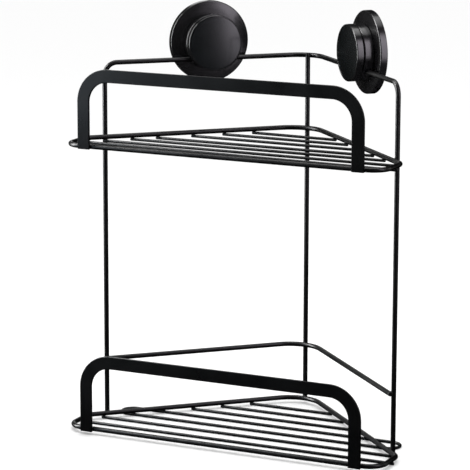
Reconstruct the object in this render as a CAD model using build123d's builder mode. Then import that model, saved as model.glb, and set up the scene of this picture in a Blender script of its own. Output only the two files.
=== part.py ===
from build123d import *
import os
from math import radians, sqrt, tan

os.makedirs("parts", exist_ok=True)

# Two-tier corner shower caddy, bent and welded from steel wire and flat bar,
# hung in an inside corner by two screw-down suction cups.
# Origin: centre of the base of the bounding box.  +Z up, -Y towards the room,
# +Y into the corner; the two walls stand at 45 degrees to X and Y.

# ---- stock -----------------------------------------------------------------
WIRE_D = 4.6            # frame, shelf outlines and guard: coated wire
GRID_D = 2.8            # cross wires of the shelves
BAR_W = 12.0            # flat bar of the front rails
BAR_T = 2.4
END_EASE = 0.5          # rounding on cut wire ends
BAR_EASE = 0.35         # rounding on the long edges of the flat bar

WIRE_R = WIRE_D / 2
GRID_R = GRID_D / 2
ROOT2 = sqrt(2)

# ---- plan of a shelf (depth is counted from the front wire) ----------------
CORNER_DEPTH = 200.0    # where the two wall-side runs would meet
SIDE_X = 158.5          # half width, out to the short straight sides
FRONT_BEND = 16.0       # wire-centre radii of the outline
SIDE_BEND = 10.0
SHELF_BACK_BEND = 30.2
GRID_COUNT = 7
GRID_FIRST = 30.6       # depth of the lower shelf's first cross wire
GRID_PITCH = 21.3
GRID_OVERHANG = 2.2     # how far a cross wire runs past the outline's centre
UPPER_DEPTHS = ((39.5, 29.5), (54.3, 49.7), (73.3, 70.3), (91.0, 89.5),
                (115.9, 112.7), (138.0, 134.6), (159.2, 155.6))  # left end, right end
LOOP_WIRES = (2, 3)     # lower cross wires that join up outside the shelf
LOOP_END_X = 133.5      # centre of each round end of that loop

# ---- frame -----------------------------------------------------------------
SHELF_GAP = 268.0       # lower to upper outline, centre to centre
TOP_GAP = 69.2          # upper outline to the top wire
TOP_BACK_BEND = 24.1
TOP_FRONT_BEND = 12.0
POST_X = 148.0
GUARD_RISE = 54.0       # guard rail above the lower outline
GUARD_END_X = 147.5
RAIL_HALF_SPAN = 136.3  # centre of each leg of a front rail
RAIL_RISE = 66.5        # centre of the bar above the outline's centre
RAIL_BEND = 25.0        # bar-centre radius

# ---- suction cups (b is measured from the top wire into the room) ----------
CUP_RISE = 15.5         # cup axis above the top wire
LEFT_CUP_RUN = 103.4    # from the virtual corner, along the top wire
RIGHT_CUP_RUN = 114.0
HOUSING_R = 38.5
HOUSING_FRONT = -5.2
HOUSING_BACK = -13.3
HOUSING_ROOF = -8.6     # inside of the front wall
HOUSING_RIM_T = 2.8
HOUSING_EASE = 1.2
MEMBRANE_R = 34.5
MEMBRANE_BACK = -14.3
MEMBRANE_T = 1.8
BOSS_R = 13.0
BOSS_FRONT = -10.8
STUD_R = 3.0
STUD_HEAD_R = 10.0
STUD_HEAD_BACK = -12.5
STUD_HEAD_FRONT = -11.4
STUD_END = 7.4
STUD_HOLE_R = 3.3
HOLDER_R = 26.4
HOLDER_BACK = -5.0
HOLDER_FRONT = 4.3
HOLDER_EASE = 1.0
WIRE_BORE_R = 2.4
WASHER_R = 23.2
WASHER_FRONT = 4.9
KNOB_R = 26.4
KNOB_FRONT = 11.6
KNOB_EASE = 0.9
CAP_R = 25.2
CAP_BACK = 10.0
CAP_CROWN = 0.45        # how far the cap's middle stands proud of its rim
INSERT_R = 5.5
INSERT_BACK = 5.3
INSERT_FRONT = 9.6
INSERT_BORE_R = 3.1

# ---- worked out from the above ---------------------------------------------
TOP_CORNER_DEPTH = CORNER_DEPTH + WIRE_D * ROOT2
BACK_FACE = TOP_CORNER_DEPTH - TOP_BACK_BEND * (ROOT2 - 1) + WIRE_R
FRONT_FACE = -WIRE_R - BAR_T
FRONT_Y = -(BACK_FACE + FRONT_FACE) / 2
LOWER_Z = WIRE_R + GRID_D
UPPER_Z = LOWER_Z + SHELF_GAP
TOP_Z = UPPER_Z + TOP_GAP
GRID_DROP = WIRE_R + GRID_R
POST_FOOT_Z = LOWER_Z - WIRE_R
BACK_POST_DEPTH = CORNER_DEPTH - SHELF_BACK_BEND * (ROOT2 - 1) + WIRE_D


def at(x, depth, z):
    """A point of the caddy from its plan place and its height."""
    return Vector(x, FRONT_Y + depth, z)


def save(part, name):
    """Label one finished piece and write it."""
    part.label = name
    export_step(part, f"parts/{name}.step")


def bent_wire(points, bends, diameter):
    """Open round wire: straight runs joined by tangent arcs, ends eased."""
    with BuildPart() as wire:
        with BuildLine() as route:
            if bends:
                FilletPolyline(*points, radius=bends)
            else:
                Line(*points)
        with BuildSketch(Plane(origin=route.line @ 0, z_dir=route.line % 0)):
            Circle(diameter / 2)
        sweep(path=route.line)
        cut_ends = wire.faces().filter_by(GeomType.PLANE).edges()
        fillet(cut_ends, END_EASE)
    return wire.part


def outline_points(z):
    """Corners of the five-sided shelf outline, from the middle of its front."""
    side_depth = CORNER_DEPTH - SIDE_X
    return [at(-SIDE_X, 0, z), at(SIDE_X, 0, z), at(SIDE_X, side_depth, z),
            at(0, CORNER_DEPTH, z), at(-SIDE_X, side_depth, z)]


def shelf_outline(z):
    """Closed ring of frame wire."""
    bends = [FRONT_BEND, FRONT_BEND, SIDE_BEND, SHELF_BACK_BEND, SIDE_BEND]
    with BuildPart() as outline:
        with BuildLine() as route:
            FilletPolyline(*outline_points(z), radius=bends, close=True)
        with BuildSketch(Plane(origin=route.wire() @ 0, z_dir=route.wire() % 0)):
            Circle(WIRE_R)
        sweep(path=route.wire())
    return outline.part


def grid_depth(index):
    return GRID_FIRST + index * GRID_PITCH


def grid_wire(left_depth, right_depth, z):
    """Straight cross wire welded under the outline."""
    ends = []
    for side, depth in ((-1, left_depth), (1, right_depth)):
        reach = min(CORNER_DEPTH - depth, SIDE_X) + GRID_OVERHANG
        ends.append(at(side * reach, depth, z - GRID_DROP))
    return bent_wire(ends, None, GRID_D)


def spacer_loop(z):
    """Two cross wires joined by half-round ends that stand off the walls."""
    low, high = grid_depth(LOOP_WIRES[0]), grid_depth(LOOP_WIRES[1])
    middle = (low + high) / 2
    reach = LOOP_END_X + (high - low) / 2
    height = z - GRID_DROP
    with BuildPart() as loop:
        with BuildLine() as route:
            Line(at(-LOOP_END_X, low, height), at(LOOP_END_X, low, height))
            ThreePointArc(at(LOOP_END_X, low, height), at(reach, middle, height),
                          at(LOOP_END_X, high, height))
            Line(at(LOOP_END_X, high, height), at(-LOOP_END_X, high, height))
            ThreePointArc(at(-LOOP_END_X, high, height), at(-reach, middle, height),
                          at(-LOOP_END_X, low, height))
        with BuildSketch(Plane(origin=route.wire() @ 0, z_dir=route.wire() % 0)):
            Circle(GRID_R)
        sweep(path=route.wire())
    return loop.part


def front_rail(z):
    """Upturned U of flat bar, welded to the face of the outline's front wire."""
    foot = z - WIRE_R
    sides = []
    for offset in (BAR_W / 2, -BAR_W / 2):
        half = RAIL_HALF_SPAN + offset
        top = z + RAIL_RISE + offset
        corners = [(-half, foot), (-half, top), (half, top), (half, foot)]
        sides.append((corners, RAIL_BEND + offset))
    face = Plane(origin=(0, FRONT_Y - WIRE_R, 0), x_dir=(1, 0, 0), z_dir=(0, -1, 0))
    with BuildPart() as rail:
        with BuildSketch(face):
            with BuildLine():
                for corners, bend in sides:
                    FilletPolyline(*corners, radius=bend)
                for end in (0, -1):
                    Line(sides[0][0][end], sides[1][0][end])
            make_face()
        extrude(amount=BAR_T)
        rim = rail.faces().filter_by(Axis.Y).edges()
        fillet(rim, BAR_EASE)
    return rail.part


def frame_wire():
    """Both side posts and the top wire: one length bent round the corner."""
    post_depth = TOP_CORNER_DEPTH - POST_X
    points = [at(-POST_X, post_depth, POST_FOOT_Z), at(-POST_X, post_depth, TOP_Z),
              at(0, TOP_CORNER_DEPTH, TOP_Z),
              at(POST_X, post_depth, TOP_Z), at(POST_X, post_depth, POST_FOOT_Z)]
    return bent_wire(points, [TOP_FRONT_BEND, TOP_BACK_BEND, TOP_FRONT_BEND], WIRE_D)


def back_post():
    """Straight post between the top wire and the backs of both outlines."""
    return bent_wire([at(0, BACK_POST_DEPTH, POST_FOOT_Z),
                      at(0, BACK_POST_DEPTH, TOP_Z + WIRE_R)], None, WIRE_D)


def guard_rail():
    """Rail above the lower shelf, from one side post round to the other."""
    z = LOWER_Z + GUARD_RISE
    end_depth = CORNER_DEPTH - GUARD_END_X
    return bent_wire([at(-GUARD_END_X, end_depth, z), at(0, CORNER_DEPTH, z),
                      at(GUARD_END_X, end_depth, z)], [SHELF_BACK_BEND], WIRE_D)


save(frame_wire(), "frame_wire")
save(back_post(), "back_post")
save(guard_rail(), "guard_rail")
for tier, shelf_z in (("upper", UPPER_Z), ("lower", LOWER_Z)):
    save(shelf_outline(shelf_z), f"{tier}_shelf_outline")
    save(front_rail(shelf_z), f"{tier}_front_rail")
for index, (left_depth, right_depth) in enumerate(UPPER_DEPTHS):
    save(grid_wire(left_depth, right_depth, UPPER_Z), f"upper_grid_wire_{index + 1}")
for index in range(GRID_COUNT):
    if index not in LOOP_WIRES:
        save(grid_wire(grid_depth(index), grid_depth(index), LOWER_Z),
             f"lower_grid_wire_{index + 1}")
save(spacer_loop(LOWER_Z), "lower_spacer_loop")


# ---- suction cups ----------------------------------------------------------

def cup_face(side, run):
    """Plane of one cup: local X along the top wire, Y up, Z into the room."""
    centre = at(side * run / ROOT2, TOP_CORNER_DEPTH - run / ROOT2, TOP_Z + CUP_RISE)
    into_room = Vector(-side, -1, 0).normalized()
    return Plane(origin=centre, x_dir=Vector(0, 0, 1).cross(into_room), z_dir=into_room)


def turned(face, corners, fillets=()):
    """Solid turned about the cup's axis from (radius, b) corners.

    fillets lists (edge test, size) pairs for the round edges to ease."""
    section = Plane(origin=face.origin, x_dir=face.x_dir, z_dir=-face.y_dir)
    with BuildPart() as piece:
        with BuildSketch(section):
            with BuildLine():
                Polyline(*corners, close=True)
            make_face()
        revolve(axis=Axis(face.origin, face.z_dir))
        for radius, b, size in fillets:
            fillet(ring_edges(piece, face, radius, b), size)
    return piece.part


def ring_edges(piece, face, radius, b):
    """Round edges of the piece with this radius at this place on the axis."""
    rings = piece.edges().filter_by(GeomType.CIRCLE)
    return [ring for ring in rings
            if abs(ring.radius - radius) < 0.01
            and abs(face.to_local_coords(ring.arc_center).Z - b) < 0.01]


def housing(face):
    """Rigid dish that presses the membrane's rim to the wall."""
    inner = HOUSING_R - HOUSING_RIM_T
    corners = [(STUD_HOLE_R, HOUSING_FRONT), (HOUSING_R, HOUSING_FRONT),
               (HOUSING_R, HOUSING_BACK), (inner, HOUSING_BACK),
               (inner, HOUSING_ROOF), (STUD_HOLE_R, HOUSING_ROOF)]
    eased = [(HOUSING_R, HOUSING_FRONT, HOUSING_EASE), (HOUSING_R, HOUSING_BACK, END_EASE)]
    return turned(face, corners, eased)


def membrane(face):
    """Rubber disc with a boss moulded round the head of the stud."""
    front = MEMBRANE_BACK + MEMBRANE_T
    corners = [(0, MEMBRANE_BACK), (MEMBRANE_R, MEMBRANE_BACK), (MEMBRANE_R, front),
               (BOSS_R, front), (BOSS_R, BOSS_FRONT), (STUD_R, BOSS_FRONT),
               (STUD_R, STUD_HEAD_FRONT), (STUD_HEAD_R, STUD_HEAD_FRONT),
               (STUD_HEAD_R, STUD_HEAD_BACK), (0, STUD_HEAD_BACK)]
    return turned(face, corners)


def stud(face):
    """Headed stud that pulls the middle of the membrane."""
    corners = [(0, STUD_HEAD_BACK), (STUD_HEAD_R, STUD_HEAD_BACK),
               (STUD_HEAD_R, STUD_HEAD_FRONT), (STUD_R, STUD_HEAD_FRONT),
               (STUD_R, STUD_END), (0, STUD_END)]
    return turned(face, corners, [(STUD_R, STUD_END, END_EASE)])


def holder(face):
    """Thick ring on the stud, bored across for the top wire."""
    corners = [(STUD_HOLE_R, HOLDER_BACK), (HOLDER_R, HOLDER_BACK),
               (HOLDER_R, HOLDER_FRONT), (STUD_HOLE_R, HOLDER_FRONT)]
    eased = [(HOLDER_R, HOLDER_BACK, HOLDER_EASE), (HOLDER_R, HOLDER_FRONT, HOLDER_EASE)]
    wire_plane = Plane(origin=face.from_local_coords((0, -CUP_RISE, 0)),
                       x_dir=face.y_dir, z_dir=face.x_dir)
    with BuildPart() as ring:
        add(turned(face, corners, eased))
        with BuildSketch(wire_plane):
            Circle(WIRE_BORE_R)
        extrude(amount=HOLDER_R, both=True, mode=Mode.SUBTRACT)
    return ring.part


def washer(face):
    """Slip washer; its smaller rim makes the groove behind the knob."""
    corners = [(STUD_HOLE_R, HOLDER_FRONT), (WASHER_R, HOLDER_FRONT),
               (WASHER_R, WASHER_FRONT), (STUD_HOLE_R, WASHER_FRONT)]
    return turned(face, corners)


def knob_body(face):
    """Moulded knob with a seat for the threaded insert and one for the cap."""
    corners = [(STUD_HOLE_R, WASHER_FRONT), (KNOB_R, WASHER_FRONT), (KNOB_R, KNOB_FRONT),
               (CAP_R, KNOB_FRONT), (CAP_R, CAP_BACK), (INSERT_R, CAP_BACK),
               (INSERT_R, INSERT_BACK), (STUD_HOLE_R, INSERT_BACK)]
    return turned(face, corners, [(KNOB_R, KNOB_FRONT, KNOB_EASE),
                                  (KNOB_R, WASHER_FRONT, END_EASE)])


def threaded_insert(face):
    """Brass insert; the thread is left as a running bore."""
    corners = [(INSERT_BORE_R, INSERT_BACK), (INSERT_R, INSERT_BACK),
               (INSERT_R, INSERT_FRONT), (INSERT_BORE_R, INSERT_FRONT)]
    return turned(face, corners)


def knob_cap(face):
    """Crowned disc that closes the front of the knob."""
    section = Plane(origin=face.origin, x_dir=face.x_dir, z_dir=-face.y_dir)
    rim = KNOB_FRONT - CAP_CROWN / 2
    middle = KNOB_FRONT + CAP_CROWN / 2
    crown_r = (CAP_R ** 2 + CAP_CROWN ** 2) / (2 * CAP_CROWN)
    with BuildPart() as cap:
        with BuildSketch(section):
            with BuildLine():
                Polyline((CAP_R, rim), (CAP_R, CAP_BACK), (0, CAP_BACK), (0, middle))
                RadiusArc((0, middle), (CAP_R, rim), crown_r)
            make_face()
        revolve(axis=Axis(face.origin, face.z_dir))
    return cap.part


CUP_PIECES = {"housing": housing, "membrane": membrane, "stud": stud, "holder": holder,
              "washer": washer, "knob_body": knob_body, "knob_insert": threaded_insert,
              "knob_cap": knob_cap}

for side_name, side, run in (("left", -1, LEFT_CUP_RUN), ("right", 1, RIGHT_CUP_RUN)):
    face = cup_face(side, run)
    for piece_name, make in CUP_PIECES.items():
        save(make(face), f"{side_name}_{piece_name}")
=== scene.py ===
from math import cos, pi, radians, sin, sqrt, tan

import bpy
import numpy as np
from mathutils import Matrix, Vector


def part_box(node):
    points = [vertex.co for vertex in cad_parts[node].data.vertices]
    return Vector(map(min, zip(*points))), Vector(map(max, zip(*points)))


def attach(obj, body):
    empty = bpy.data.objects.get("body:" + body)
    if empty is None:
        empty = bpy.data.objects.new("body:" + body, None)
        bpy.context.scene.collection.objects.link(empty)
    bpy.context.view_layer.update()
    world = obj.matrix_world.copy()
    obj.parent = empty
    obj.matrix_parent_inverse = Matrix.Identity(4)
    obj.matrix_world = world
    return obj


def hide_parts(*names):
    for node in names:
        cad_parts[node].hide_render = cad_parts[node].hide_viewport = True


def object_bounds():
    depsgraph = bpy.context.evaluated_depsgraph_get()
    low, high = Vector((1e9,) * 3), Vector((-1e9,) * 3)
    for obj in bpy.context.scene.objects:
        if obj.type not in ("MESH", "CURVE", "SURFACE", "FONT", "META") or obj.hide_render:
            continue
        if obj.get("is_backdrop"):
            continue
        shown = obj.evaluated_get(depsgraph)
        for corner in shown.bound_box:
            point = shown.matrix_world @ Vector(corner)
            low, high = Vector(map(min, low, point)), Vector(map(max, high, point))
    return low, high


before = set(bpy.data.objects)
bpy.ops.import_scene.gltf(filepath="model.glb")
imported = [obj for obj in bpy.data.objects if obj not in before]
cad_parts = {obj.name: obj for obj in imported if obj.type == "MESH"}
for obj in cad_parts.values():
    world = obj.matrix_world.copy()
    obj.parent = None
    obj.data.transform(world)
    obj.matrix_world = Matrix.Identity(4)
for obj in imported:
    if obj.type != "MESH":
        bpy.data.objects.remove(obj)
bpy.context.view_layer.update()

# Looks of the two-tier corner shower caddy: coated wire and flat bar, the weld beads that
# join them, and the two screw-down suction cups.  Everything is in metres in the frame's own
# axes: +Z up, -Y towards the room, +Y into the corner of the walls.

MM = 0.001
ROOT2 = sqrt(2)

# ---- places and sizes read from the frame ----------------------------------
TIERS = ("lower", "upper")
CUPS = {"left": -1, "right": 1}


def middle(node):
    low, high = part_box(node)
    return np.array((low + high) / 2)


outline_low, outline_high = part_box("lower_shelf_outline")
WIRE_R = (outline_high.z - outline_low.z) / 2
GRID_R = (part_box("lower_grid_wire_1")[1].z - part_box("lower_grid_wire_1")[0].z) / 2
SHELF_BACK_BEND = 30.2 * MM
SHELF_FRONT_BEND = 16.0 * MM
SHELF_SIDE_BEND = 10.0 * MM
FRONT_Y = outline_low.y + WIRE_R
SIDE_X = outline_high.x - WIRE_R
CORNER_Y = outline_high.y - WIRE_R + SHELF_BACK_BEND * (ROOT2 - 1)
SHELF_Z = {tier: middle(f"{tier}_shelf_outline")[2] for tier in TIERS}

wire_low, wire_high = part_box("frame_wire")
POST_X = wire_high.x - WIRE_R
POST_Y = wire_low.y + WIRE_R
FOOT_Z = wire_low.z
TOP_Z = wire_high.z - WIRE_R
TOP_CORNER_Y = POST_Y + POST_X
TOP_BACK_BEND = 24.1 * MM
TOP_FRONT_BEND = 12.0 * MM
BACK_POST = middle("back_post")
GUARD_Z = middle("guard_rail")[2]
GUARD_END_X = 147.5 * MM

BAR_W = 12.0 * MM
RAIL_BEND = 25.0 * MM
WIRE_END_EASE = 0.9 * MM    # rounding of a cut end
GRID_END_EASE = 0.8 * MM
BAR_EASE = 0.5 * MM

# ---- suction cups: b runs from the top wire into the room -------------------
WASHER_MIDDLE = 4.6 * MM
STUD_HOLE_R = 3.3 * MM
HOUSING_R = 38.5 * MM
HOUSING_FRONT = -5.2 * MM
HOUSING_BACK = -13.3 * MM
HOUSING_ROOF = -8.6 * MM
HOUSING_INNER_R = 35.7 * MM
MEMBRANE_R = 34.5 * MM
MEMBRANE_BACK = -14.3 * MM
MEMBRANE_FRONT = -12.5 * MM
BOSS_R = 13.0 * MM
BOSS_FRONT = -10.8 * MM
KNOB_R = 26.4 * MM
KNOB_BACK = 4.9 * MM
KNOB_FRONT = 11.6 * MM
CAP_R = 25.2 * MM
CAP_BACK = 10.0 * MM
CAP_GAP = 0.06 * MM
CAP_EDGE = 0.3 * MM
CAP_CROWN = 0.9 * MM
CAP_PROUD = 0.55 * MM       # middle of the cap past the knob's front
INSERT_R = 5.5 * MM
INSERT_BACK = 5.3 * MM
DOME = ((26 * MM, 0.0), (32 * MM, 0.35 * MM), (HOUSING_R, 1.2 * MM))  # radius, fall back
RIB_RADII = (26.5 * MM, 29.5 * MM, 32.5 * MM)
RIB_RISE = 0.35 * MM
RIB_TOP_HALF = 0.4 * MM
RIB_FOOT_HALF = 0.9 * MM
DISH_R = 21 * MM
DISH_DEPTH = 0.5 * MM
CUP_SEGMENTS = 128


# ---- lines ------------------------------------------------------------------

def spun(vector, axis, angles):
    """The vector turned about a unit axis by each angle: v cos + (a x v) sin + a (a.v)(1 - cos)."""
    angles = np.asarray(angles)[:, None]
    return (vector * np.cos(angles) + np.cross(axis, vector) * np.sin(angles)
            + axis * (axis @ vector) * (1 - np.cos(angles)))


def bent_line(corners, bends, side, closed=False, step=radians(5), hold=0.0):
    """Straight runs joined by tangent arcs, as points, directions and side vectors.

    At a corner that turns by A, the arc of radius r leaves the run r tan(A/2) before the
    corner; its points are centre - inward r cos t + run r sin t for t from 0 to A, and the
    side vector turns with it about the bend's own axis.  hold adds a point on each run that
    far from each arc, which keeps the flats beside a small easing flat."""
    corners = np.asarray(corners, float)
    runs = np.roll(corners, -1, axis=0) - corners
    runs /= np.maximum(np.linalg.norm(runs, axis=1, keepdims=True), 1e-12)
    side = np.asarray(side, float)
    turning = range(len(corners)) if closed else range(1, len(corners) - 1)
    points, ways, sides = [], [], []

    def put(place, way, sideways):
        points.append(np.atleast_2d(place))
        ways.append(np.atleast_2d(way))
        sides.append(np.atleast_2d(sideways))

    if not closed:
        put(corners[0], runs[0], side)
    for corner, radius in zip(turning, bends):
        way_in, way_out = runs[corner - 1], runs[corner]
        axis = np.cross(way_in, way_out)
        turn = np.arctan2(np.linalg.norm(axis), way_in @ way_out)
        axis /= np.linalg.norm(axis)
        inward = np.cross(axis, way_in)
        start = corners[corner] - way_in * radius * tan(turn / 2)
        angles = np.linspace(0, turn, max(3, int(np.ceil(turn / step)) + 1))
        swing = angles[:, None]
        arc = start + inward * radius * (1 - np.cos(swing)) + way_in * radius * np.sin(swing)
        if hold:
            put(start - way_in * hold, way_in, side)
        put(arc, spun(way_in, axis, angles), spun(side, axis, angles))
        side = sides[-1][-1]
        if hold:
            put(arc[-1] + way_out * hold, way_out, side)
    if not closed:
        put(corners[-1], runs[-2], side)
    return np.vstack(points), np.vstack(ways), np.vstack(sides)


# ---- surfaces ---------------------------------------------------------------

def ring_surface(rings, closed=False, tips=None):
    """Grid of points as faces: rows are sections along the piece, columns go round a section.

    closed joins the last row to the first; tips are two points that close the end rows."""
    rows, columns = rings.shape[:2]
    index = np.arange(rows * columns).reshape(rows, columns)
    places = rings.reshape(-1, 3)
    if closed:
        index = np.vstack([index, index[:1]])
    following = np.roll(index, -1, axis=1)
    quads = np.stack([index[:-1], following[:-1], following[1:], index[1:]], -1).reshape(-1, 4)
    fans = np.zeros((0, 3), int)
    if tips is not None:
        first, last = len(places), len(places) + 1
        places = np.vstack([places, tips])
        fans = np.vstack([
            np.stack([np.full(columns, first), following[0], index[0]], -1),
            np.stack([np.full(columns, last), index[-1], following[-1]], -1)])
    return places, quads, fans


def circles(centres, radii, side, other, around):
    """One circle a row: centre + radius (cos u side + sin u other) for u once round."""
    turn = np.linspace(0, 2 * pi, around, endpoint=False)[None, :, None]
    return centres[:, None] + radii[:, None, None] * (np.cos(turn) * side + np.sin(turn) * other)


def eased_ends(points, ways, ease, rows):
    """Rows that round off both cut ends of a line.

    For t from 0 to 90 degrees a row stands ease (1 - cos t) in from the end and is drawn in
    by ease (1 - sin t) all round.  Gives each row's centre, the point of the line that it
    belongs to, and how far it is drawn in."""
    swing = np.linspace(0, pi / 2, rows)
    back = (ease * (1 - np.cos(swing)))[:, None]
    inset = ease * (1 - np.sin(swing))
    between = np.arange(1, len(points) - 1)
    owners = np.concatenate([np.zeros(rows, int), between, np.full(rows, len(points) - 1)])
    centres = points[owners]
    centres[:rows] += ways[0] * back
    centres[-rows:] -= ways[-1] * back[::-1]
    return centres, owners, np.concatenate([inset, np.zeros(len(between)), inset[::-1]])


def round_wire(points, ways, sides, radius, ease=0.0, closed=False, around=28):
    """Circle of the given radius carried along a line, with eased ends unless it is closed."""
    insets, tips = np.zeros(len(points)), None
    if not closed:
        tips = points[[0, -1]]
        points, owners, insets = eased_ends(points, ways, ease, 7)
        ways, sides = ways[owners], sides[owners]
    rings = circles(points, radius - insets, sides[:, None], np.cross(ways, sides)[:, None], around)
    return ring_surface(rings, closed, tips)


def flat_bar(points, ways, thick_way, width, thickness, ease):
    """Rounded rectangle carried along a line in one plane, its ends eased like its edges."""
    half_w, half_t = width / 2, thickness / 2
    corners = [(half_w, half_t, 0), (-half_w, half_t, 0), (-half_w, -half_t, 0),
               (half_w, -half_t, 0)]
    section = bent_line(corners, [ease] * 4, (0, 0, 1), closed=True, step=radians(15),
                        hold=0.25 * MM)[0]
    tips = points[[0, -1]]
    points, owners, insets = eased_ends(points, ways, ease, 6)
    across = np.cross(ways[owners], thick_way)
    wide = section[:, 0] * (1 - insets[:, None] / half_w)
    deep = section[:, 1] * (1 - insets[:, None] / half_t)
    rings = points[:, None] + wide[:, :, None] * across[:, None] + deep[:, :, None] * thick_way
    return ring_surface(rings, tips=tips)


def cup_axes(side_name):
    """Centre of a cup at b = 0, its direction along the wire, up, and into the room."""
    into_room = np.array([-CUPS[side_name], -1, 0]) / ROOT2
    centre = middle(f"{side_name}_washer") - into_room * WASHER_MIDDLE
    up = np.array([0.0, 0.0, 1.0])
    return centre, np.cross(up, into_room), up, into_room


def turned(axes, corners, eases, closed=True, step=radians(11)):
    """Profile of (radius, b) corners, eased by arcs, turned about the cup's axis.

    An open profile starts and ends on the axis, where a tip closes it."""
    centre, along, up, into_room = axes
    profile = bent_line([(r, 0, b) for r, b in corners], eases, (0, 1, 0), closed=closed,
                        step=step, hold=0.12 * MM)[0]
    radius, b = profile[:, 0], profile[:, 2]
    tips = None
    if not closed:
        tips = centre + b[[0, -1], None] * into_room
        radius, b = radius[1:-1], b[1:-1]
    rings = circles(centre + b[:, None] * into_room, radius, along, up, CUP_SEGMENTS)
    return ring_surface(rings, closed, tips)


def weld_bead(place, axis, wide, thin, chance, lump=0.06):
    """Flattened blob of weld metal under the coating, round about its axis.

    Latitude t and longitude u give wide cos t round the axis and thin sin t along it, times
    1 + lump (sin(2u + p) cos t + sin(3u + q) cos 2t) with chance phases p and q."""
    axis = np.asarray(axis, float) / np.linalg.norm(axis)
    side = np.cross(axis, (0.0, 0.0, 1.0) if abs(axis[2]) < 0.9 else (1.0, 0.0, 0.0))
    side /= np.linalg.norm(side)
    other = np.cross(axis, side)
    latitude = np.linspace(-pi / 2, pi / 2, 11)[1:-1, None]
    longitude = np.linspace(0, 2 * pi, 16, endpoint=False)[None]
    phases = chance.uniform(0, 2 * pi, 2)
    swell = 1 + lump * (np.sin(2 * longitude + phases[0]) * np.cos(latitude)
                        + np.sin(3 * longitude + phases[1]) * np.cos(2 * latitude))
    reach = (wide * np.cos(latitude) * swell)[:, :, None]
    rise = (thin * np.sin(latitude) * swell)[:, :, None]
    longitude = longitude[:, :, None]
    rings = place + reach * (np.cos(longitude) * side + np.sin(longitude) * other) + rise * axis
    return ring_surface(rings, tips=np.array([place - axis * thin, place + axis * thin]))


def weld_run(start, end, radius, chance):
    """Short run of weld: a circle along a line, swelling from both ends and rippled.

    At s from 0 to 1 the radius is radius (1 - (2s - 1)^6)^(1/2) (1 + 0.09 sin(14 pi s + p))."""
    start, end = np.asarray(start, float), np.asarray(end, float)
    share = np.linspace(0, 1, 40)[1:-1]
    way = (end - start) / np.linalg.norm(end - start)
    side = np.array([0.0, 0.0, 1.0])
    ripple = 1 + 0.09 * np.sin(14 * pi * share + chance.uniform(0, 2 * pi))
    radii = radius * np.sqrt(1 - (2 * share - 1) ** 6) * ripple
    centres = start + share[:, None] * (end - start)
    rings = circles(centres, radii, side, np.cross(way, side), 14)
    return ring_surface(rings, tips=np.array([start, end]))


def outward(places, quads, fans):
    """The same faces, all turned the other way if the closed surface is inside out."""
    triangles = np.vstack([quads[:, [0, 1, 2]], quads[:, [0, 2, 3]], fans])
    a, b, c = (places[triangles[:, i]] for i in range(3))
    if np.einsum("ij,ij->", a - places.mean(0), np.cross(b, c)) < 0:
        return quads[:, ::-1], fans[:, ::-1]
    return quads, fans


def piece(name, surfaces, body, slot, material, *nodes):
    """One object from closed surfaces, riding on a body in place of the named CAD nodes."""
    places, faces, start = [], [], 0
    for points, quads, fans in surfaces:
        quads, fans = outward(points, quads, fans)
        places.append(points)
        faces += (quads + start).tolist() + (fans + start).tolist()
        start += len(points)
    mesh = bpy.data.meshes.new(name)
    mesh.from_pydata(np.vstack(places).tolist(), [], faces)
    mesh.polygons.foreach_set("use_smooth", np.ones(len(faces), bool))
    mesh.materials.append(material)
    mesh.validate()
    mesh.update()
    made = bpy.data.objects.new(name, mesh)
    bpy.context.scene.collection.objects.link(made)
    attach(made, body)
    if nodes:
        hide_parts(*nodes)
    return made


# ---- finishes ---------------------------------------------------------------

def new_group(name, inputs, outputs):
    """Shader node group with float inputs {name: value} and outputs {name: socket type}."""
    tree = bpy.data.node_groups.new(name, "ShaderNodeTree")
    for label, value in inputs.items():
        socket = tree.interface.new_socket(label, in_out="INPUT", socket_type="NodeSocketFloat")
        socket.default_value = value
    for label, kind in outputs.items():
        tree.interface.new_socket(label, in_out="OUTPUT", socket_type=kind)
    return tree, tree.nodes.new("NodeGroupInput"), tree.nodes.new("NodeGroupOutput")


def noise(tree, scale, detail, roughness=0.5):
    """Noise on Object coordinates; scale is a number or a socket."""
    where = tree.nodes.new("ShaderNodeTexCoord")
    texture = tree.nodes.new("ShaderNodeTexNoise")
    tree.links.new(where.outputs["Object"], texture.inputs["Vector"])
    texture.inputs["Detail"].default_value = detail
    texture.inputs["Roughness"].default_value = roughness
    if isinstance(scale, bpy.types.NodeSocket):
        tree.links.new(scale, texture.inputs["Scale"])
    else:
        texture.inputs["Scale"].default_value = scale
    return texture.outputs["Fac"]


def relief(tree, height, depth, below=None):
    """Bump of the given depth in metres, laid over another normal if there is one."""
    bump = tree.nodes.new("ShaderNodeBump")
    bump.inputs["Strength"].default_value = 1.0
    tree.links.new(depth, bump.inputs["Distance"])
    tree.links.new(height, bump.inputs["Height"])
    if below is not None:
        tree.links.new(below, bump.inputs["Normal"])
    return bump.outputs["Normal"]


def ranged(tree, value, low, high):
    """Value from 0.3..0.7, where noise mostly lies, spread over low..high."""
    node = tree.nodes.new("ShaderNodeMapRange")
    node.inputs["From Min"].default_value = 0.3
    node.inputs["From Max"].default_value = 0.7
    tree.links.new(value, node.inputs["Value"])
    tree.links.new(low, node.inputs["To Min"])
    tree.links.new(high, node.inputs["To Max"])
    return node.outputs["Result"]


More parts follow.
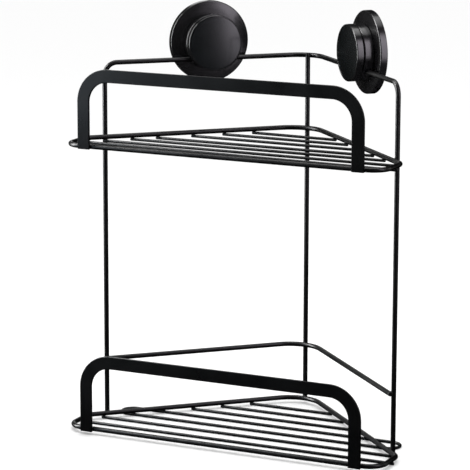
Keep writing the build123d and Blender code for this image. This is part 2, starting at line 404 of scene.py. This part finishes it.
def build_coat_group():
    """Baked powder: a slow orange peel, fine specks over it, and slow changes of gloss."""
    tree, given, out = new_group(
        "powder_coat", {"Peel Scale": 700, "Peel Depth": 2e-5, "Speck Scale": 5000,
                        "Speck Depth": 3e-6, "Gloss Low": 0.3, "Gloss High": 0.4},
        {"Normal": "NodeSocketVector", "Roughness": "NodeSocketFloat", "Shade": "NodeSocketFloat"})
    peel = noise(tree, given.outputs["Peel Scale"], 1.0)
    speck = noise(tree, given.outputs["Speck Scale"], 2.0)
    base = relief(tree, peel, given.outputs["Peel Depth"])
    fine = relief(tree, speck, given.outputs["Speck Depth"], base)
    drift = noise(tree, 38, 3.0)
    gloss = ranged(tree, drift, given.outputs["Gloss Low"], given.outputs["Gloss High"])
    tree.links.new(fine, out.inputs["Normal"])
    tree.links.new(gloss, out.inputs["Roughness"])
    tree.links.new(speck, out.inputs["Shade"])
    return tree


def build_grain_group():
    """Moulded surface: an etched grain, a slow flow pattern, and gloss that follows the flow."""
    tree, given, out = new_group(
        "moulded_grain", {"Grain Scale": 3000, "Grain Depth": 6e-6, "Flow Scale": 45,
                          "Gloss Low": 0.4, "Gloss High": 0.5},
        {"Normal": "NodeSocketVector", "Roughness": "NodeSocketFloat", "Shade": "NodeSocketFloat"})
    grain = noise(tree, given.outputs["Grain Scale"], 3.0, 0.6)
    flow = noise(tree, given.outputs["Flow Scale"], 4.0, 0.55)
    normal = relief(tree, grain, given.outputs["Grain Depth"])
    gloss = ranged(tree, flow, given.outputs["Gloss Low"], given.outputs["Gloss High"])
    tree.links.new(normal, out.inputs["Normal"])
    tree.links.new(gloss, out.inputs["Roughness"])
    tree.links.new(flow, out.inputs["Shade"])
    return tree


def finish(name, group, values, dark, light, metallic=0.0, coat=0.0):
    """Principled material whose colour, roughness and normal come from a surface group."""
    material = bpy.data.materials.new(name)
    material.use_nodes = True
    tree = material.node_tree
    shader = tree.nodes["Principled BSDF"]
    surface = tree.nodes.new("ShaderNodeGroup")
    surface.node_tree = group
    for label, value in values.items():
        surface.inputs[label].default_value = value
    ramp = tree.nodes.new("ShaderNodeValToRGB")
    ramp.color_ramp.elements[0].position = 0.35
    ramp.color_ramp.elements[0].color = (*dark, 1)
    ramp.color_ramp.elements[1].position = 0.65
    ramp.color_ramp.elements[1].color = (*light, 1)
    tree.links.new(surface.outputs["Shade"], ramp.inputs["Fac"])
    tree.links.new(ramp.outputs["Color"], shader.inputs["Base Color"])
    tree.links.new(surface.outputs["Roughness"], shader.inputs["Roughness"])
    tree.links.new(surface.outputs["Normal"], shader.inputs["Normal"])
    shader.inputs["Metallic"].default_value = metallic
    shader.inputs["Coat Weight"].default_value = coat
    shader.inputs["Coat Roughness"].default_value = 0.10
    return material


coat_group = build_coat_group()
grain_group = build_grain_group()
FINISHES = {
    "coated_wire": finish("wire_powder_coat", coat_group,
                          {"Peel Scale": 800, "Peel Depth": 2.5e-5, "Speck Scale": 5200,
                           "Speck Depth": 4e-6, "Gloss Low": 0.30, "Gloss High": 0.40},
                          (0.0012, 0.0012, 0.0014), (0.0022, 0.0022, 0.0025)),
    "coated_bar": finish("bar_powder_coat", coat_group,
                         {"Peel Scale": 620, "Peel Depth": 2.5e-5, "Speck Scale": 5200,
                          "Speck Depth": 4e-6, "Gloss Low": 0.27, "Gloss High": 0.33},
                         (0.0008, 0.0009, 0.0011), (0.0014, 0.0016, 0.0020)),
    "cup_plastic": finish("cup_satin_plastic", grain_group,
                          {"Grain Scale": 3200, "Grain Depth": 4e-6, "Flow Scale": 40,
                           "Gloss Low": 0.22, "Gloss High": 0.28},
                          (0.0056, 0.0054, 0.0062), (0.0076, 0.0073, 0.0084), coat=0.35),
    "cap_plastic": finish("cap_smooth_plastic", grain_group,
                          {"Grain Scale": 4200, "Grain Depth": 1.2e-6, "Flow Scale": 30,
                           "Gloss Low": 0.22, "Gloss High": 0.26},
                          (0.0024, 0.0040, 0.0046), (0.0032, 0.0052, 0.0060), coat=0.25),
    "washer_plastic": finish("washer_matt_plastic", grain_group,
                             {"Grain Scale": 2600, "Grain Depth": 8e-6, "Flow Scale": 60,
                              "Gloss Low": 0.55, "Gloss High": 0.65},
                             (0.004, 0.004, 0.004), (0.007, 0.007, 0.007)),
    "cup_rubber": finish("cup_soft_rubber", grain_group,
                         {"Grain Scale": 1800, "Grain Depth": 3e-6, "Flow Scale": 55,
                          "Gloss Low": 0.38, "Gloss High": 0.52},
                         (0.010, 0.010, 0.011), (0.018, 0.018, 0.019)),
    "plated_steel": finish("stud_zinc_plate", grain_group,
                           {"Grain Scale": 2400, "Grain Depth": 4e-6, "Flow Scale": 120,
                            "Gloss Low": 0.25, "Gloss High": 0.40},
                           (0.48, 0.49, 0.50), (0.62, 0.62, 0.60), metallic=1.0),
    "brass": finish("insert_turned_brass", grain_group,
                    {"Grain Scale": 2200, "Grain Depth": 5e-6, "Flow Scale": 150,
                     "Gloss Low": 0.22, "Gloss High": 0.35},
                    (0.62, 0.45, 0.18), (0.76, 0.58, 0.27), metallic=1.0),
}
WIRE = FINISHES["coated_wire"]


# ---- frame: coated wire and bar ---------------------------------------------

UPWARD = np.array([0.0, 0.0, 1.0])


def frame_wire():
    """Both posts and the top wire, bent round the corner."""
    corners = [(-POST_X, POST_Y, FOOT_Z), (-POST_X, POST_Y, TOP_Z), (0, TOP_CORNER_Y, TOP_Z),
               (POST_X, POST_Y, TOP_Z), (POST_X, POST_Y, FOOT_Z)]
    line = bent_line(corners, [TOP_FRONT_BEND, TOP_BACK_BEND, TOP_FRONT_BEND],
                     np.array([1, 1, 0]) / ROOT2)
    piece("coated_frame_wire", [round_wire(*line, WIRE_R, WIRE_END_EASE)], "frame",
          "coated_wire", WIRE, "frame_wire")


def straight_wire(name, start, end, radius, ease, node):
    """Wire along one run, in place of its CAD node."""
    start, end = np.array(start, float), np.array(end, float)
    way = (end - start) / np.linalg.norm(end - start)
    side = np.cross(way, (0, 1, 0))
    line = np.array([start, end]), np.array([way, way]), np.array([side, side])
    piece(name, [round_wire(*line, radius, ease)], "frame", "coated_wire", WIRE, node)


def shelf_outline(tier):
    """Closed five-sided ring with its back bend towards the corner of the walls."""
    z, side_y = SHELF_Z[tier], CORNER_Y - SIDE_X
    corners = [(-SIDE_X, FRONT_Y, z), (SIDE_X, FRONT_Y, z), (SIDE_X, side_y, z),
               (0, CORNER_Y, z), (-SIDE_X, side_y, z)]
    bends = [SHELF_FRONT_BEND, SHELF_FRONT_BEND, SHELF_SIDE_BEND, SHELF_BACK_BEND,
             SHELF_SIDE_BEND]
    line = bent_line(corners, bends, UPWARD, closed=True)
    piece(f"coated_{tier}_shelf_outline", [round_wire(*line, WIRE_R, closed=True)], "frame",
          "coated_wire", WIRE, f"{tier}_shelf_outline")


def guard_rail():
    """Rail round the back of the lower shelf, with one bend in the corner."""
    end_y = CORNER_Y - GUARD_END_X
    corners = [(-GUARD_END_X, end_y, GUARD_Z), (0, CORNER_Y, GUARD_Z),
               (GUARD_END_X, end_y, GUARD_Z)]
    line = bent_line(corners, [SHELF_BACK_BEND], UPWARD)
    piece("coated_guard_rail", [round_wire(*line, WIRE_R, WIRE_END_EASE)], "frame",
          "coated_wire", WIRE, "guard_rail")


def spacer_loop():
    """Two cross wires in one ring, with half-round ends."""
    low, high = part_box("lower_spacer_loop")
    near, far, z = low.y + GRID_R, high.y - GRID_R, (low.z + high.z) / 2
    reach, bend = high.x - GRID_R, (far - near) / 2
    corners = [(-reach, near, z), (reach, near, z), (reach, far, z), (-reach, far, z)]
    line = bent_line(corners, [bend] * 4, UPWARD, closed=True)
    piece("coated_lower_spacer_loop", [round_wire(*line, GRID_R, closed=True, around=20)],
          "frame", "coated_wire", WIRE, "lower_spacer_loop")


def front_rail(tier):
    """Upturned U of flat bar with eased edges."""
    low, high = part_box(f"{tier}_front_rail")
    y, half, top = (low.y + high.y) / 2, high.x - BAR_W / 2, high.z - BAR_W / 2
    corners = [(-half, y, low.z), (-half, y, top), (half, y, top), (half, y, low.z)]
    points, ways, _ = bent_line(corners, [RAIL_BEND] * 2, (0, 1, 0), step=radians(4))
    surface = flat_bar(points, ways, np.array([0.0, 1.0, 0.0]), BAR_W, high.y - low.y, BAR_EASE)
    piece(f"coated_{tier}_front_rail", [surface], "frame", "coated_bar", FINISHES["coated_bar"],
          f"{tier}_front_rail")


def grid_line(name):
    """Ends of a cross wire's centre line; those of the upper shelf run in to the right."""
    low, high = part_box(name)
    z = (low.z + high.z) / 2
    lean = np.arctan2(high.y - low.y - 2 * GRID_R, high.x - low.x)
    inset = GRID_R * sin(lean)
    return ((low.x + inset, high.y - GRID_R * cos(lean), z),
            (high.x - inset, low.y + GRID_R * cos(lean), z))


def grid_wires():
    """Each cross wire where the frame has it, with well rounded cut ends."""
    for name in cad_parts:
        if "_grid_wire_" in name:
            straight_wire(f"coated_{name}", *grid_line(name), GRID_R, GRID_END_EASE, name)


frame_wire()
guard_rail()
spacer_loop()
grid_wires()
low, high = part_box("back_post")
straight_wire("coated_back_post", (*BACK_POST[:2], low.z), (*BACK_POST[:2], high.z), WIRE_R,
              WIRE_END_EASE, "back_post")
for tier in TIERS:
    shelf_outline(tier)
    front_rail(tier)


# ---- welds ------------------------------------------------------------------

CROSS_BEAD = (1.6 * MM, 1.0 * MM)     # wide, thin
POST_BEAD = (2.1 * MM, 1.15 * MM)
RAIL_WELD_R = 0.8 * MM
RAIL_WELD_HALF = 4.6 * MM
RAIL_WELD_RISES = (1.75 * MM, -1.55 * MM)   # over and under the outline
RAIL_WELD_OUT = 0.6 * MM              # behind the rail's back face


def crossing_x(y):
    """Where an outline's side runs at this depth."""
    return min(SIDE_X, CORNER_Y - y)


def cross_wire_ends(tier):
    """Left and right y of all cross wires of a shelf, the loop's two among them."""
    ends = []
    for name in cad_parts:
        if name.startswith(f"{tier}_grid_wire_"):
            start, end = grid_line(name)
            ends.append((start[1], end[1]))
    if tier == "lower":
        loop_low, loop_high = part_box("lower_spacer_loop")
        ends += [(y, y) for y in (loop_low.y + GRID_R, loop_high.y - GRID_R)]
    return ends


def shelf_welds(tier, chance):
    """Beads under the outline at each cross wire, and runs behind the feet of the rail."""
    z = SHELF_Z[tier]
    surfaces = []
    for ends in cross_wire_ends(tier):
        for side, y in zip((-1, 1), ends):
            place = np.array([side * crossing_x(y), y, z - WIRE_R])
            surfaces.append(weld_bead(place, UPWARD, *CROSS_BEAD, chance))
    rail_low, rail_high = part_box(f"{tier}_front_rail")
    leg_x = rail_high.x - BAR_W / 2
    for side in (-1, 1):
        for rise in RAIL_WELD_RISES:
            ends = [(side * leg_x + run, rail_high.y + RAIL_WELD_OUT, z + rise)
                    for run in (-RAIL_WELD_HALF, RAIL_WELD_HALF)]
            surfaces.append(weld_run(*ends, RAIL_WELD_R, chance))
    piece(f"{tier}_shelf_welds", surfaces, "frame", "coated_wire", WIRE)


def post_welds(chance):
    """Beads where posts, outlines, guard rail and top wire touch side by side."""
    surfaces = []
    for side in (-1, 1):
        to_room = np.array([-side, -1, 0]) / ROOT2
        touch = np.array([side * POST_X, POST_Y, 0]) + to_room * WIRE_R
        for z in (*SHELF_Z.values(), GUARD_Z):
            surfaces.append(weld_bead(touch + UPWARD * z, to_room, *POST_BEAD, chance))
    to_room = np.array([0.0, -1.0, 0.0])
    for z in (*SHELF_Z.values(), GUARD_Z):
        place = np.array([0, BACK_POST[1], z]) + to_room * WIRE_R
        surfaces.append(weld_bead(place, to_room, *POST_BEAD, chance))
    place = np.array([0, BACK_POST[1], TOP_Z]) - to_room * WIRE_R
    surfaces.append(weld_bead(place, to_room, *POST_BEAD, chance))
    piece("post_welds", surfaces, "frame", "coated_wire", WIRE)


chance = np.random.default_rng(7)
for tier in TIERS:
    shelf_welds(tier, chance)
post_welds(chance)


# ---- suction cups -----------------------------------------------------------

def housing(side_name, axes):
    """Dish whose front face domes back towards a rounded rim."""
    corners = [(STUD_HOLE_R, HOUSING_FRONT),
               *((r, HOUSING_FRONT - fall) for r, fall in DOME),
               (HOUSING_R, HOUSING_BACK), (HOUSING_INNER_R, HOUSING_BACK),
               (HOUSING_INNER_R, HOUSING_ROOF), (STUD_HOLE_R, HOUSING_ROOF)]
    eases = [v * MM for v in (0.3, 60, 60, 1.0, 0.6, 0.4, 1.0, 0.3)]
    piece(f"moulded_{side_name}_housing", [turned(axes, corners, eases, step=radians(9))],
          f"{side_name}_cup", "cup_plastic", FINISHES["cup_plastic"], f"{side_name}_housing")


def knob_body(side_name, axes):
    """Ring with a recess for the cap in front and one for the insert inside it."""
    corners = [(STUD_HOLE_R, KNOB_BACK), (KNOB_R, KNOB_BACK), (KNOB_R, KNOB_FRONT),
               (CAP_R, KNOB_FRONT), (CAP_R, CAP_BACK), (INSERT_R, CAP_BACK),
               (INSERT_R, INSERT_BACK), (STUD_HOLE_R, INSERT_BACK)]
    eases = [v * MM for v in (0.1, 0.6, 0.95, 0.15, 0.1, 0.2, 0.1, 0.1)]
    piece(f"moulded_{side_name}_knob_body", [turned(axes, corners, eases)],
          f"{side_name}_knob", "cup_plastic", FINISHES["cup_plastic"], f"{side_name}_knob_body")


def knob_cap(side_name, axes):
    """Crowned disc: b falls by crown (r / radius)^2 from its middle to its eased rim."""
    centre, along, up, into_room = axes
    radius, front = CAP_R - CAP_GAP, KNOB_FRONT + CAP_PROUD
    rim_b = front - CAP_CROWN
    swing = np.linspace(0, pi / 2, 6)
    spread = np.linspace(0, 1, 26)[-2:0:-1] * (radius - CAP_EDGE)
    r = np.concatenate([[0.5 * radius, radius, radius],
                        radius - CAP_EDGE + CAP_EDGE * np.cos(swing), spread])
    b = np.concatenate([[CAP_BACK, CAP_BACK, rim_b - 3 * CAP_EDGE],
                        rim_b - CAP_EDGE + CAP_EDGE * np.sin(swing),
                        front - CAP_CROWN * (spread / (radius - CAP_EDGE)) ** 2])
    rings = circles(centre + b[:, None] * into_room, r, along, up, CUP_SEGMENTS)
    tips = centre + np.array([[CAP_BACK], [front]]) * into_room
    piece(f"moulded_{side_name}_knob_cap", [ring_surface(rings, tips=tips)],
          f"{side_name}_knob", "cap_plastic", FINISHES["cap_plastic"], f"{side_name}_knob_cap")


def membrane(side_name, axes):
    """Rubber disc: sealing ribs round the back, a shallow dish inside them, a boss in front."""
    foot, dish = MEMBRANE_BACK + RIB_RISE, MEMBRANE_BACK + DISH_DEPTH
    corners = [(0, dish), (DISH_R, dish)]
    for rib_r in RIB_RADII:
        corners += [(rib_r - RIB_FOOT_HALF, foot), (rib_r - RIB_TOP_HALF, MEMBRANE_BACK),
                    (rib_r + RIB_TOP_HALF, MEMBRANE_BACK), (rib_r + RIB_FOOT_HALF, foot)]
    corners += [(MEMBRANE_R, foot), (MEMBRANE_R, MEMBRANE_FRONT), (BOSS_R, MEMBRANE_FRONT),
                (BOSS_R, BOSS_FRONT), (0, BOSS_FRONT)]
    eases = [3 * MM] + [0.2 * MM] * 12 + [0.5 * MM, 0.4 * MM, 0.4 * MM, 0.3 * MM]
    piece(f"moulded_{side_name}_membrane",
          [turned(axes, corners, eases, closed=False, step=radians(15))],
          f"{side_name}_vacuum", "cup_rubber", FINISHES["cup_rubber"], f"{side_name}_membrane")


for side_name in CUPS:
    axes = cup_axes(side_name)
    housing(side_name, axes)
    knob_body(side_name, axes)
    knob_cap(side_name, axes)
    membrane(side_name, axes)
    for part, slot in (("holder", "cup_plastic"), ("washer", "washer_plastic"),
                       ("stud", "plated_steel"), ("knob_insert", "brass")):
        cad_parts[f"{side_name}_{part}"].data.materials[0] = FINISHES[slot]


# ---- floor, light and camera ------------------------------------------------

FLOOR_R = 14.0
WORLD_STRENGTH = 1.08

def pale_floor():
    """Round pale floor: ring k of n has radius FLOOR_R (k / n)^2, and a tip closes the middle."""
    rows, columns = 8, 48
    radii = FLOOR_R * np.linspace(0, 1, rows + 1)[1:] ** 2
    rings = circles(np.zeros((rows, 3)), radii, np.array([1, 0, 0]), np.array([0, 1, 0]), columns)
    index = np.arange(rows * columns).reshape(rows, columns)
    following = np.roll(index, -1, axis=1)
    quads = np.stack([index[:-1], index[1:], following[1:], following[:-1]], -1).reshape(-1, 4)
    fan = np.stack([np.full(columns, rows * columns), index[0], following[0]], -1)
    mesh = bpy.data.meshes.new("pale_floor")
    mesh.from_pydata(np.vstack([rings.reshape(-1, 3), [[0, 0, 0]]]).tolist(), [],
                     quads.tolist() + fan.tolist())
    material = bpy.data.materials.new("pale_floor")
    material.use_nodes = True
    shader = material.node_tree.nodes["Principled BSDF"]
    shader.inputs["Base Color"].default_value = (0.93, 0.93, 0.93, 1)
    shader.inputs["Roughness"].default_value = 0.9
    shader.inputs["Specular IOR Level"].default_value = 0.1
    mesh.materials.append(material)
    floor = bpy.data.objects.new("pale_floor", mesh)
    bpy.context.scene.collection.objects.link(floor)
    floor.visible_glossy = False
    floor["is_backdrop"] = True


def feathered(lamp, feathers):
    """Fade a lamp's face to nothing over these shares of its width and height at each edge."""
    lamp.use_nodes = True
    tree = lamp.node_tree
    face = tree.nodes.new("ShaderNodeNewGeometry")
    split = tree.nodes.new("ShaderNodeSeparateXYZ")
    tree.links.new(face.outputs["Parametric"], split.inputs["Vector"])
    both = tree.nodes.new("ShaderNodeMath")
    both.operation = "MULTIPLY"
    for slot, (axis, feather) in enumerate(zip(("X", "Y"), feathers)):
        centred = tree.nodes.new("ShaderNodeMath")
        centred.operation = "SUBTRACT"
        centred.inputs[1].default_value = 0.5
        reach = tree.nodes.new("ShaderNodeMath")
        reach.operation = "ABSOLUTE"
        fade = tree.nodes.new("ShaderNodeMapRange")
        fade.interpolation_type = "SMOOTHSTEP"
        for label, value in (("From Min", 0.5 - feather), ("From Max", 0.5), ("To Min", 1.0),
                             ("To Max", 0.0)):
            fade.inputs[label].default_value = value
        tree.links.new(split.outputs[axis], centred.inputs[0])
        tree.links.new(centred.outputs[0], reach.inputs[0])
        tree.links.new(reach.outputs[0], fade.inputs["Value"])
        tree.links.new(fade.outputs["Result"], both.inputs[slot])
    tree.links.new(both.outputs[0], tree.nodes["Emission"].inputs["Strength"])


def softbox(name, place, aim, size, strength, feathers=(0.1, 0.1), tint=(1, 1, 1),
            diffuse=False):
    """Rectangular lamp turned to a point; its face has the given radiance inside faded edges."""
    lamp = bpy.data.lights.new(name, "AREA")
    lamp.shape = "RECTANGLE"
    lamp.size, lamp.size_y = size
    lamp.energy = strength * size[0] * size[1] * pi
    lamp.color = tint
    feathered(lamp, feathers)
    lamp_object = bpy.data.objects.new(name, lamp)
    lamp_object.location = place
    way = Vector(aim) - Vector(place)
    lamp_object.rotation_euler = way.to_track_quat("-Z", "Y").to_euler()
    lamp_object.visible_diffuse = diffuse
    lamp_object.visible_camera = False
    bpy.context.scene.collection.objects.link(lamp_object)


def studio():
    """Even white surround for the floor, and softboxes that shape the dark coating."""
    world = bpy.data.worlds.new("studio")
    world.use_nodes = True
    world.node_tree.nodes["Background"].inputs["Color"].default_value = (1, 1, 1, 1)
    world.node_tree.nodes["Background"].inputs["Strength"].default_value = WORLD_STRENGTH
    world.cycles_visibility.glossy = False
    bpy.context.scene.world = world
    softbox("front_left_card", (-0.90, -0.78, 0.42), (-0.12, -0.05, 0.30), (0.90, 1.05), 2.2,
            (0.3, 0.25), (0.84, 0.97, 1.10))
    softbox("left_box", (-1.07, -0.37, 0.72), (0, 0, 0.30), (0.40, 1.6), 21.0)
    softbox("right_box", (0.80, -0.22, 0.66), (-0.05, 0.03, 0.38), (0.34, 1.50), 4.0, (0.4, 0.28),
            (1.03, 0.96, 1.07))
    softbox("top_box", (-0.10, 0.12, 1.35), (0, 0, 0.2), (1.2, 0.9), 3.5, (0.2, 0.2),
            diffuse=True)
    softbox("right_back_strip", (0.95, 0.65, 0.45), (0, 0, 0.25), (0.25, 1.1), 1.5)
    softbox("left_back_strip", (-0.75, 1.05, 0.45), (0, 0, 0.25), (0.30, 1.1), 1.2)


CAMERA_PLACE = (0.98810, -2.10629, 0.65762)
CAMERA_AZIMUTH, CAMERA_ELEVATION, CAMERA_ROLL = radians(25.817), radians(11.494), radians(0.148)
CAMERA_LENS_MM = 194.5


def camera():
    """Long lens from the right of the front, looking a little down."""
    azimuth, elevation = CAMERA_AZIMUTH, CAMERA_ELEVATION
    back = Vector((sin(azimuth) * cos(elevation), -cos(azimuth) * cos(elevation), sin(elevation)))
    right = Vector((cos(azimuth), sin(azimuth), 0))
    turn = Matrix((right, back.cross(right), back)).transposed()
    turn = turn @ Matrix.Rotation(CAMERA_ROLL, 3, "Z")
    lens = bpy.data.cameras.new("camera")
    lens.lens, lens.sensor_width = CAMERA_LENS_MM, 36.0
    lens.clip_start, lens.clip_end = 0.05, 60.0
    seen_from = bpy.data.objects.new("camera", lens)
    seen_from.matrix_world = Matrix.Translation(CAMERA_PLACE) @ turn.to_4x4()
    bpy.context.scene.collection.objects.link(seen_from)
    bpy.context.scene.camera = seen_from


pale_floor()
studio()
camera()
bpy.context.scene.view_settings.view_transform = "Standard"

low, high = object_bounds()
